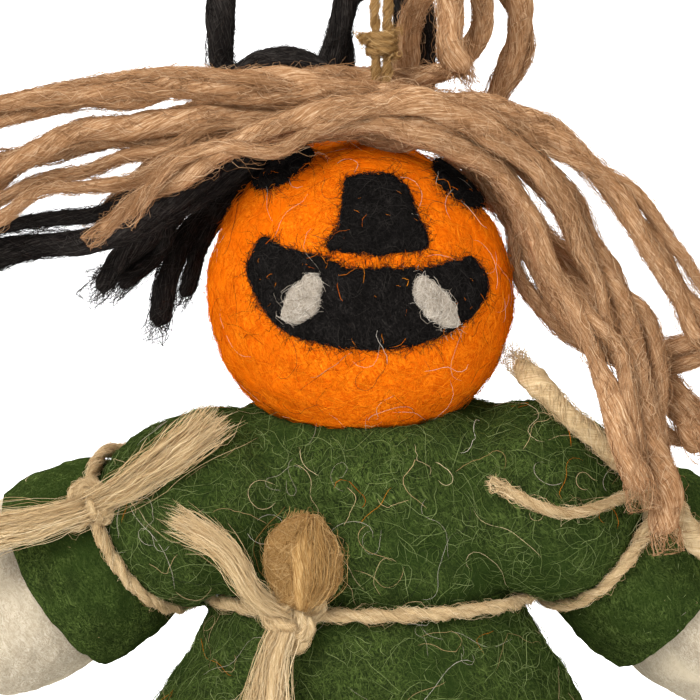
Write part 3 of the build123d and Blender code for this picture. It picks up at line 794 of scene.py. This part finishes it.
def face_patch(name, outline, high, wool, node, seed, fuzz):
    """A needled-on patch that swells out of the ball and ends in fibres."""
    edge, cell = 0.9, 0.28  # width of its rounded rim, and of the squares it is built from
    fibre = wool + "_fibre"
    poly = np.array(outline)
    smooth = nurbs([(x, 0, z) for x, z in outline + outline[:3]], 0.5)[:, [0, 2]]
    smooth = smooth[len(smooth) // (len(outline) + 2): -(len(smooth) // (len(outline) + 2))]
    x = np.arange(poly[:, 0].min() - 0.6, poly[:, 0].max() + 0.6, cell)
    z = np.arange(poly[:, 1].min() - 0.6, poly[:, 1].max() + 0.6, cell)
    gx, gz = np.meshgrid(x, z, indexing="ij")
    flat = np.stack([gx.ravel(), gz.ravel()], -1)
    wobble = np.array([noise.noise(Vector((p[0] * 0.8, p[1] * 0.8, seed))) for p in flat])
    inside = outline_distance(flat, smooth) + 0.35 * wobble
    rise = np.clip((inside + 0.2) / edge, 0, 1)
    rise = high * np.sin(rise * math.pi / 2) + 0.10 * wobble * (rise > 0.5)
    used = inside > -0.25
    p, n = face_point(flat[:, 0], flat[:, 1])
    top = p + n * (rise - 0.12)[:, None]
    bottom = p - n * 0.5
    index = np.arange(len(flat)).reshape(gx.shape)
    cells = np.stack([index[:-1, :-1], index[1:, :-1], index[1:, 1:], index[:-1, 1:]], -1).reshape(-1, 4)
    cells = cells[used[cells].all(1)]
    tris = np.concatenate([cells[:, [0, 1, 2]], cells[:, [0, 2, 3]]])
    edges = np.concatenate([tris[:, [0, 1]], tris[:, [1, 2]], tris[:, [2, 0]]])
    key = set(map(tuple, edges))
    rim = np.array([e for e in edges if (e[1], e[0]) not in key])
    m = len(flat)
    wall = np.concatenate([np.stack([rim[:, 1], rim[:, 0], rim[:, 0] + m], -1),
                           np.stack([rim[:, 1], rim[:, 0] + m, rim[:, 1] + m], -1)])
    tris = np.concatenate([tris, tris[:, ::-1] + m, wall])
    kept = np.unique(tris)
    renumber = np.zeros(2 * m, int)
    renumber[kept] = np.arange(len(kept))
    soup = Soup()
    soup.add(np.concatenate([top, bottom])[kept], renumber[tris], wool)
    base = soup.build(name + "_base")
    skin = surface(base)
    out = Soup()
    out.add(skin[0], skin[1], wool)
    add_fuzz(out, skin, fibre, fuzz * 2, (1.5, 5), 0.4, 0.03, seed, curl=2.0)
    add_fuzz(out, skin, fibre, fuzz // 3, (2.5, 7), 1.2, 0.024, seed + 1, curl=3.4, steps=9)
    # Fibres that cross the edge and lie on the ball.
    rng = np.random.default_rng(seed + 2)
    count, k = len(smooth) * 4, 7
    start = smooth[rng.integers(0, len(smooth), count)]
    way = rng.uniform(0, 2 * math.pi, count)
    reach = 0.4 + 2.4 * rng.uniform(0, 1, count) ** 2
    t = np.linspace(-0.5, 0.5, k)[None]
    u = start[:, 0:1] + np.cos(way)[:, None] * t * reach[:, None] * 2 + 0.45 * wander(count, k, rng)
    v = start[:, 1:2] + np.sin(way)[:, None] * t * reach[:, None] * 2 + 0.45 * wander(count, k, rng)
    p, n = face_point(u.ravel(), v.ravel())
    level = np.clip((outline_distance(np.stack([u.ravel(), v.ravel()], -1), smooth) + 0.2) / edge, 0, 1)
    p = p + n * (0.06 + high * np.sin(level * math.pi / 2))[:, None]
    add_fibres(out, p.reshape(count, k, 3), rng.uniform(0.5, 1.2, count) * 0.03, fibre, rng)
    bpy.data.objects.remove(base)
    return finish_piece(out.build(name), "figure", wool + "_felt", node)


for piece, outline, high, wool, node, seed, fuzz in (
    ("nose_felt", NOSE, 0.8, "black", "nose_patch", 11, 260),
    ("mouth_felt", MOUTH, 0.8, "black", "mouth_patch", 12, 420),
    ("tooth_right_felt", oval(-7.4, -1.3, -27, 4.5, 7.2, 3), 1.5, "pale", "tooth_right", 13, 300),
    ("tooth_left_felt", oval(9.3, -1.7, 41, 3.9, 8.0, 4), 1.5, "pale", "tooth_left", 14, 300),
    ("eye_right_felt", oval(-10.8, 16.8, 30, 9.8, 4.8, 5), 0.8, "black", "eye_right", 15, 120),
    ("eye_left_felt", oval(13.4, 14.6, -45, 8.8, 5.0, 6), 0.8, "black", "eye_left", 16, 120),
):
    face_patch(piece, outline, high, wool, node, seed, fuzz)


def on_face(c):
    """Keeps fibres on the front half of the head."""
    return (c[:, 1] < HEAD[1]).astype(float)


fuzz_piece("head_mat", head_skin, "figure", "orange_felt",
           ("orange_fibre", 4600, (1.5, 6), 0.35, 0.032, 21, off_crown, 1.8))
fuzz_piece("head_fuzz", head_skin, "figure", "orange_felt",
           ("orange_fibre", 2400, (1.5, 5), 1.0, 0.026, 22, off_crown, 2.6),
           ("black_fibre", 130, (3, 12), 1.0, 0.022, 23, on_face, 3.4, 12),
           ("pale_fibre", 90, (4, 12), 1.2, 0.022, 24, off_crown, 3.0, 10))


# ---- hair --------------------------------------------------------------------------------
HAIR = {  # radii along each lock, radii of its companions, and its route from the head's middle
    "hair_tan_1": ((1.2, 1.6, 2.1, 2.1, 1.8, 1.8, 1.5), (1.4, 1), [
        (-56, -4.5, 20.5), (-46, -6, 25), (-34, -7, 27), (-20, -8, 29.8), (-4, -8, 28), (10, -7, 25.8),
        (20, -6.5, 25.4), (31, -6.5, 18.6), (39, -8, 8), (44.5, -9.5, -2.5), (53, -8, -9)]),
    "hair_tan_2": ((1.5, 1.8, 2.1, 1.9, 1.8, 1.8, 2.2), (1.4,), [
        (-56, -8.5, 13.5), (-44, -7.5, 20.3), (-32, -7, 23.2), (-18, -7, 24.6), (-4, -5.6, 23.4),
        (10, -5, 22), (20.5, -4, 21), (28, -4.5, 13.8), (33.5, -7, 4.5), (37, -11, -6), (39, -14.5, -19),
        (42, -16, -31)]),
    "hair_tan_3": ((0.9, 1, 1.5, 1.9, 1.6, 1.4, 2), (1.1,), [
        (-56, -8, 8.5), (-49, -8.2, 10), (-42, -8.5, 15), (-33, -9, 16), (-21, -10, 20.4), (-6, -10, 23),
        (7, -10.4, 23.2), (18.5, -8.6, 19), (23.5, -8.6, 10.5), (26, -10, 2.5), (30.4, -13, -4.5),
        (34.5, -17, -14.5), (36, -19, -25)]),
    "hair_tan_4": ((1.2, 1.7, 1.7, 1.5, 1.6, 1.8, 1.5), (1.1,), [
        (-36, 4, 9.5), (-29, 5, 17), (-19, 5.2, 23.6), (-6, 5.7, 25.3), (8, 5.6, 22.6), (19, 3.8, 14.8),
        (23.6, 1.5, 5.5), (27, -0.5, -2), (33, -3.5, -7.5), (42, -4.5, -8.5), (53, -3.5, -4.5)]),
    "hair_tan_5": ((1.2, 1.5, 1.6, 1.5, 1.7), (), [
        (-52.5, -2, 10.5), (-50, -2.2, 16), (-43.5, -2.6, 19.3), (-31, -3, 21.8), (-17, 1.6, 27),
        (-4, 8.2, 29.5), (8, 8.2, 28), (15.5, 4, 32.2), (17.5, 3, 40), (15, 4, 48)]),
    "hair_tan_6": ((1.8, 1.8, 1.8), (1.1,), [
        (4.5, 12.4, 22.6), (7, 11.6, 32), (8.8, 10, 41), (15, 9, 47.5), (22, 9, 41.5), (22.3, 9.5, 33),
        (17.5, 8.6, 25.5), (16, 8.6, 17.8)]),
    "hair_tan_7": ((1.7, 1.9, 1.8), (1.2,), [
        (13, -5.5, 30), (12.4, -5, 36), (11.5, -4, 42), (13.5, -2.5, 48)]),
    "hair_tan_8": ((1, 1.3, 1.8, 1.9, 1.5, 1.3, 1.2), (1,), [
        (-35, -12, 9.5), (-29, -12.5, 14), (-20, -13.4, 19.6), (-10, -13.4, 24), (-1, -12.2, 26.2),
        (9, -11.2, 26.6), (19, -9.6, 22.4), (27, -8, 14.6), (31, -8, 6), (33, -9, -3), (36.5, -12.5, -11.5)]),
    "hair_tan_9": ((1.7, 1.9, 2, 2.3), (1.4, 1.1), [
        (10, 17, 15), (19, 15, 12.5), (27.5, 9.5, 5), (33.5, 4, -3.5), (39.5, 0.5, -11), (43.5, -5.5, -16),
        (46.5, -10, -21)]),
    "hair_black_1": ((1.5, 2, 2.2, 2.2, 1.9), (1.5, 1.3), [
        (-57, 1, 4.5), (-45, -1, 6.6), (-34, -2, 8), (-23.5, -3, 14), (-15, -1, 19.4), (-6, 9, 21.4),
        (3, 16, 19.2), (8.5, 17.8, 27), (8.5, 19.5, 38), (7, 21, 47)]),
    "hair_black_2": ((2.1, 2.1, 1.9, 1.7), (), [
        (-19, 15, 48), (-20, 14.5, 38), (-20.3, 14.6, 29), (-14, 16, 24), (-4, 18.6, 20), (5, 20.8, 13.5),
        (14, 20.5, 6), (18, 18, -4)]),
    "hair_black_3": ((1.9, 2, 1.9, 1.8), (1.3,), [
        (0.5, 19, 47), (-2, 20, 38), (-4.5, 21.4, 29), (-9, 21.6, 20), (-17.5, 17, 13), (-24, 11, 7.5),
        (-27, 8.6, 0), (-29, 8, -6)]),
    "hair_black_4": ((1.8, 1.9, 2.1, 2.1, 1.7), (1.5, 1.2), [
        (-1.5, 12.8, 26.6), (-7, 12.4, 31.4), (-14.5, 11, 30.6), (-20.5, 10.5, 24.5), (-24.5, 10, 15.5),
        (-29, 7.5, 6.5), (-37, 6, -0.5)]),
}


def crimped(path, rng, size):
    """The same line with the small waves of unravelled wool."""
    _, normal, other = frames(path)
    waves = max(3, int(len(path) * 0.6 / 7))
    shift = size * 1.6 * wander(2, len(path), rng, waves)
    return spaced(path + normal * shift[0][:, None] + other * shift[1][:, None], 0.6)


def hair(name, seed):
    """A lock: its main run, its companions and their frayed ends."""
    thick, beside, route = HAIR[name]
    body, fibre, slot = ("black_yarn", "soot_fibre", "black_yarn")
    if "tan" in name:
        body, fibre, slot = ("tan", "tan_fibre", "tan_yarn")
    rng = np.random.default_rng(seed)
    path = nurbs(at(route))
    cover, stray = ((4.6, 1.0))
    k = len(path)
    _, normal, other = frames(path)
    runs = [(crimped(path, rng, 0.15 if name in ("hair_tan_4", "hair_tan_5") else 0.45), thick)]
    for number, radius in enumerate(beside):
        ends = np.abs(np.linspace(-1, 1, k)) ** 1.5
        off = (1.3 + 1.8 * ends)[:, None]
        turn = rng.uniform(0, 6.28) + 3 * number + 1.5 * wander(1, k, rng, 5)[0]
        line = path + off * round_line(normal, other, turn)
        cut = int(rng.uniform(0.01, 0.10) * k)
        runs.append((crimped(line[cut:k - cut], rng, 0.6), (radius * 0.8, radius, radius, radius * 0.9)))
    for number, (line, radius) in enumerate(runs):
        soup = Soup()
        add_yarn(soup, line, radius, body, fibre, seed + 50 * number, 0.10 + 0.05 * (seed % 3), cover, stray)
        for end in (line[:9][::-1], line[-9:]):
            add_brush(soup, end, (radius[0] * 0.9, radius[-1] * 0.8), seed + 70 + number, 80,
                      fibre, 1.0, 5, 0.5, 0.034, 0.4, core=0, even=0.5)
        nodes = [] if number else [name]
        finish_piece(soup.build(f"{name}_yarn_{number + 1}"), "figure", slot, *nodes)


for number, lock in enumerate(HAIR):
    hair(lock, 100 + number)


# ---- tunic, sleeves, arms, legs ----------------------------------------------------------
WAIST_Z = HEAD[2] - 42.5


def tunic_shape(co, normal):
    """Drawn in under the belt and puffed above and below it."""
    z = co[:, 2] - WAIST_Z
    near = np.clip(1 - np.abs(co[:, 0] - BODY[0]) / 30, 0, 1) ** 0.3
    move = -0.9 * np.exp(-(z / 1.6) ** 2) + 0.6 * np.exp(-((np.abs(z) - 5) / 3) ** 2)
    return co + normal * (move * near)[:, None]


tunic = felt_body("tunic_felt", frame["nodes"]["tunic"].data, "green", 0.8, 6, 0.5, tunic_shape)
finish_piece(tunic, "figure", "green_felt", "tunic", fill=1.0)
tunic_skin = surface(tunic)


def seen(c):
    """Keeps fibres on the outside of the tunic, off the socket walls and out from under the head."""
    keep = np.linalg.norm(c - HEAD, axis=1) > 21.8
    for side in SIDES:
        keep &= np.linalg.norm(c - SHOULDER[side], axis=1) > 10.2
    return keep.astype(float)


fuzz_piece("tunic_mat_1", tunic_skin, "figure", "green_felt",
           ("green_fibre", 4200, (2, 8), 0.5, 0.036, 31, seen, 2.2))
fuzz_piece("tunic_mat_2", tunic_skin, "figure", "green_felt",
           ("green_fibre", 4600, (2, 7), 0.9, 0.030, 32, seen, 3.0))
fuzz_piece("tunic_fuzz", tunic_skin, "figure", "green_felt",
           ("green_fibre", 2200, (2, 6), 1.6, 0.026, 36, seen, 3.6),
           ("pale_fibre", 160, (5, 18), 2.0, 0.024, 33, seen, 5.0, 16),
           ("jute_fibre", 200, (4, 16), 2.0, 0.028, 34, seen, 5.0, 16),
           ("orange_fibre", 70, (4, 12), 1.4, 0.024, 37, seen, 4.0, 12),
           ("black_fibre", 120, (4, 12), 1.4, 0.024, 35, seen, 4.0, 12))

core = felt_body("core_felt", frame["nodes"]["body_core"].data, "cream", 1.0, 3, 0.3)
finish_piece(core, "figure", "undyed_felt", "body_core")

SLEEVE = [(-3.5, 9.2), (-1.6, 10.4), (0.4, 11.2), (2.6, 12.5), (5.5, 13.7), (9, 14.2), (12.5, 14.3),
          (15.4, 14.3), (16.4, 14.1), (16.5, 13.4), (15.4, 12.9), (13, 12.8), (9, 12.6), (6, 11.6),
          (3.6, 9.4), (1.5, 7.5)]
ARM = [(-6, 0.05), (-5.6, 3.6), (-2, 5.8), (4, 6.6), (9, 10), (13, 11.9), (17, 13.0), (22, 13.6), (28, 13.2),
       (33, 11.6), (36.4, 7.6), (37.2, 3.2), (37.2, 0.05)]
LEG = [(7.5, 0.05), (7.4, 3.5), (4.6, 7.4), (-2, 8.2), (-14, 8.2), (-28, 8.6), (-40, 9.2), (-47, 8.4),
       (-50, 4.5), (-50.2, 0.05)]

def sleeve_pieces(side, origin, along):
    """A sleeve and its fibres, turned about the arm's line from the figure out to the arm at the shoulder tie.
    """
    sleeve = turned(f"sleeve_{side}_felt", origin, along, SLEEVE, "green", 110, 0.7, 0.55, 3, 4.2)
    finish_piece(sleeve, None, "green_felt", f"sleeve_{side}", fill=0.8)
    fuzz = fuzz_piece(f"sleeve_{side}_fuzz", surface(sleeve), None, "green_felt",
                      ("green_fibre", 2800, (2, 8), 0.6, 0.034, 41, None, 2.4),
                      ("green_fibre", 1300, (2, 6), 1.5, 0.026, 46, None, 3.4),
                      ("pale_fibre", 50, (5, 16), 1.8, 0.024, 42, None, 5.0, 14),
                      ("jute_fibre", 60, (5, 16), 1.8, 0.028, 43, None, 5.0, 14))
    for piece in (sleeve, fuzz):
        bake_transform(piece)


UNDER_SLEEVE = 12  # how far out along the arm its fibres begin
UNDER_HEM = HEAD[2] - 66  # below this height the legs have fibres


def arm_end(side):
    return lambda c: ((c - SHOULDER[side]) @ ALONG[side] > UNDER_SLEEVE).astype(float)


def leg_end(c):
    return (c[:, 2] < UNDER_HEM).astype(float)


for side in SIDES:
    sleeve_pieces(side, SHOULDER[side], ALONG[side])
    for name, origin, axis, profile, sides, seed, count, fuzz_seed, shown in (
        (f"arm_{side}", SHOULDER[side], ALONG[side], ARM, 90, 9, 3400, 44, arm_end(side)),
        (f"leg_{side}", joint(f"leg_{side}_swing"), Z_AXIS, LEG, 72, 17, 2600, 45, leg_end),
    ):
        felt = turned(name + "_felt", origin, axis, profile, "cream", sides, 0.8, 0.5, seed)
        finish_piece(felt, name, "undyed_felt", name, fill=1.0)
        fuzz_piece(name + "_fuzz", surface(felt), name, "undyed_felt",
                   ("cream_fibre", count, (2, 7), 0.9, 0.03, fuzz_seed, shown, 2.6))


# ---- jute --------------------------------------------------------------------------------
TIE_R = 12.3
TIE_BACK = 0.9  # the ties lie this far towards the body from the shoulder joints


def trefoil(centre, size, x_axis, y_axis, squash=0.8):
    """The line of an overhand knot."""
    t = np.linspace(0, 2 * math.pi, 90, endpoint=False)
    x, y, z = np.sin(t) + 2 * np.sin(2 * t), np.cos(t) - 2 * np.cos(2 * t), -np.sin(3 * t) * 1.3
    z_axis = np.cross(x_axis, y_axis)
    line = (x[:, None] * x_axis + y[:, None] * y_axis + squash * z[:, None] * z_axis) * size / 3
    return spaced(centre + line, 0.3)


def ring(centre, axis, radius, squeeze=1.0, across=None):
    """A closed line round an axis."""
    t = np.linspace(0, 2 * math.pi, 240)
    u = unit(np.cross(axis, (0, 0, 1.0))) if across is None else across
    v = np.cross(axis, u)
    return spaced(centre + radius * round_line(u, squeeze * v, t), 0.3)


def tie_point(side, angle, out):
    """A place round a shoulder tie, turned from its top towards the front."""
    along = ALONG[side]
    front = unit(along * along[1] - Y_AXIS)
    up = unit(Z_AXIS - along * along[2])
    turn = math.radians(angle)
    return SHOULDER[side] - along * TIE_BACK + (up * math.cos(turn) + front * math.sin(turn)) * out


KNOT = {side: tie_point(side, {"right": 55.0, "left": 42.0}[side], TIE_R + 2.1) - HEAD for side in SIDES}
BELT_KNOT = np.array([BODY[0] - 10.6, BODY[1] - 16.6, WAIST_Z]) - HEAD
TAILS = {  # knot it comes from, radii from the knot outwards, flatness, route
    "belt_tail_up": (BELT_KNOT, [1.4, 1.5, 1.6, 1.9, 2.3], 0.7, [
        (-14.6, -20, -39.6), (-16.4, -20.4, -35.2), (-19.6, -19.8, -31.4), (-24, -18.4, -29.6)]),
    "belt_tail_down": (BELT_KNOT, [1.3, 1.5, 2.1, 2.9, 3.6], 0.6, [
        (-11.4, -20.4, -46.4), (-12, -23.2, -51), (-12.6, -27.2, -57), (-13, -30.6, -62.5)]),
    "shoulder_tail_right": (KNOT["right"], [1.6, 1.8, 2.0, 2.3, 2.6], 0.7, [
        (-33, -12.2, -26.4), (-29, -14.4, -23.4), (-25, -15.4, -20.4), (-20.4, -15, -16.6)]),
    "outer_tail_right": (KNOT["right"], [1.6, 1.7, 1.9, 2.0, 2.0], 0.8, [
        (-40.4, -10.2, -29.6), (-44.5, -10.6, -30.9), (-49, -10.2, -31.6), (-55, -9.4, -33.5)]),
}
for number, (name, (knot, radii, flat, points)) in enumerate(TAILS.items()):
    path = nurbs(at([knot] + points), 0.4)
    soup = Soup()
    add_brush(soup, path, radii, 200 + number, 700, flat=flat)
    add_brush(soup, path, [r * 1.25 for r in radii], 230 + number, 130, flat=flat, clumps=14, over=0.2,
              thick=0.026, wave=1.5, core=0, even=0.4)
    finish_piece(soup.build(name + "_jute"), "figure", "jute", name)

STRANDS = {  # softly twisted single ends on the left shoulder: radius and route
    "shoulder_tail_left": (1.55, [
        (35.5, -11.4, -22.4), (30.8, -12.4, -18), (26, -10.6, -13.8), (21.4, -5.6, -9.4)]),
    "outer_tail_left": (1.7, [
        (42.2, -8.6, -28.3), (44.2, -10.4, -31.5), (47, -10.8, -34.5), (51, -10.4, -37)]),
    "shoulder_strand_left": (0.62, [
        (35.5, -13, -26.6), (29.5, -16.8, -28.4), (24, -17.6, -27.6), (19.5, -17, -25)]),
}
for number, (name, (radius, points)) in enumerate(STRANDS.items()):
    path = nurbs(at([KNOT["left"]] + points), 0.4)
    soup = Soup()
    add_yarn(soup, path, (radius, radius, radius * 1.1), "jute", "jute_fibre", 240 + number, 0.7, 7.0, 1.0,
             0.9, 0.028, 1.0, 0.3)
    add_brush(soup, path[-10:], (radius * 0.8, radius), 250 + number, 120, clumps=4, over=0.9, core=0,
              even=0.4)
    finish_piece(soup.build(name + "_jute"), "figure", "jute", name)

JUTE_YARN = ("jute", "jute_fibre")
for number, side in enumerate(SIDES):
    along, centre = ALONG[side], KNOT[side] + HEAD
    twine_piece(f"shoulder_tie_{side}_twine", "figure", f"shoulder_tie_{side}",
                (ring(SHOULDER[side] - along * TIE_BACK, along, TIE_R - 0.2), 0.9, 300 + number))
    out = unit(centre - SHOULDER[side])
    aside = unit(np.cross(out, along))
    twine_piece(f"shoulder_knot_{side}_twine", "figure", f"shoulder_knot_{side}",
                (trefoil(centre, 3.2, along, aside), 1.05, 310 + number, *JUTE_YARN, 8.0, 1.5),
                (trefoil(centre + out * 0.4, 2.4, aside, -along, 1.0), 1.0, 320 + number,
                 *JUTE_YARN, 8.0, 1.5))

BELT_HALF, BELT_DEEP = 22.65, 15.83
waist = np.array([BODY[0], BODY[1], WAIST_Z])
twine_piece("belt_twine", "figure", "belt",
            (ring(waist, Z_AXIS, BELT_HALF, BELT_DEEP / BELT_HALF, X_AXIS), 0.9, 340, *JUTE_YARN, 9.0))
knot_at, lean = BELT_KNOT + HEAD, np.array([0, 0.2, 1.0])
twine_piece("belt_knot_twine", "figure", "belt_knot",
            (trefoil(knot_at, 3.8, X_AXIS, lean, 0.7), 1.1, 350, *JUTE_YARN, 8.0, 1.6),
            (trefoil(knot_at + (0, -0.6, 0.2), 2.9, lean, X_AXIS, 0.9), 1.1, 351, *JUTE_YARN, 8.0, 1.6))

soup = Soup()
leaf = felt_body("leaf", frame["nodes"]["belt_bow_loop"].data, "orange", 0.4, 2, 0.2)
leaf_skin = surface(leaf)
soup.add(leaf_skin[0], leaf_skin[1], "gold_fibre", 0.35)
bpy.data.objects.remove(leaf)
add_fuzz(soup, leaf_skin, "gold_fibre", 1800, (2, 6), 0.5, 0.035, 360, curl=1.2)
add_fuzz(soup, leaf_skin, "gold_fibre", 300, (3, 7), 1.6, 0.026, 361, curl=2.6)
add_brush(soup, nurbs(at([(-8.2, -19, -41), (-7.4, -19.4, -36), (-8.0, -19.2, -31), (-7.4, -18.8, -28)])),
          [1.6, 4.4, 4.2, 1.6], 362, 600, "gold_fibre", 0.35, 11, 0.05, wave=0.4, body="gold")
finish_piece(soup.build("belt_bow_loop_jute"), "figure", "jute", "belt_bow_loop")

# ---- hanging loop ------------------------------------------------------------------------
loop_foot = (CROWN[2] + 2.42) * MM
UP = [(-0.0007, 0, loop_foot), (-0.00075, 0, -0.040), (-0.0022, 0, -0.022), (-0.0034, 0, -0.009),
      (-0.0036, 0, 0.00065)]
LOOP_ROUTE = UP + [(-x, y, z) for x, y, z in reversed(UP)]
loop_path = nurbs(np.array(LOOP_ROUTE) / MM, 0.35)
loop = twine_piece("hang_loop_twine", "hanging_loop", "hang_loop",
                   (loop_path, 0.68, 400, "gold", "gold_fibre", 4.2, 0.9, 0.3))

soup = Soup()
nub = np.array([0, 0, HEAD[2] + 33.7])
t = np.linspace(0, 1, 120)
wrap = np.stack([1.75 * np.cos(t * 18.8), 1.15 * np.sin(t * 18.8), -1.4 + 2.8 * t], -1)
add_twine(soup, spaced(nub + wrap, 0.3), 0.6, 410, "gold", "gold_fibre", 3.6, 1.0, 0.9)
add_brush(soup, nurbs(nub + np.array([(-1.2, -0.6, 0.8), (-2.2, -0.9, 1.0), (-3.2, -1.0, 0.6)])),
          [0.5, 0.7, 0.9], 411, 120, "gold_fibre", core=0)
loop_nub = finish_piece(soup.build("loop_knot_twine"), "hanging_loop", "jute", "loop_knot")

twine_piece("loop_anchor_twine", "hanging_loop", "loop_anchor_knot",
            (trefoil(CROWN, 1.7, X_AXIS, Y_AXIS, 0.9), 0.62, 420, "gold", "gold_fibre", 3.6))
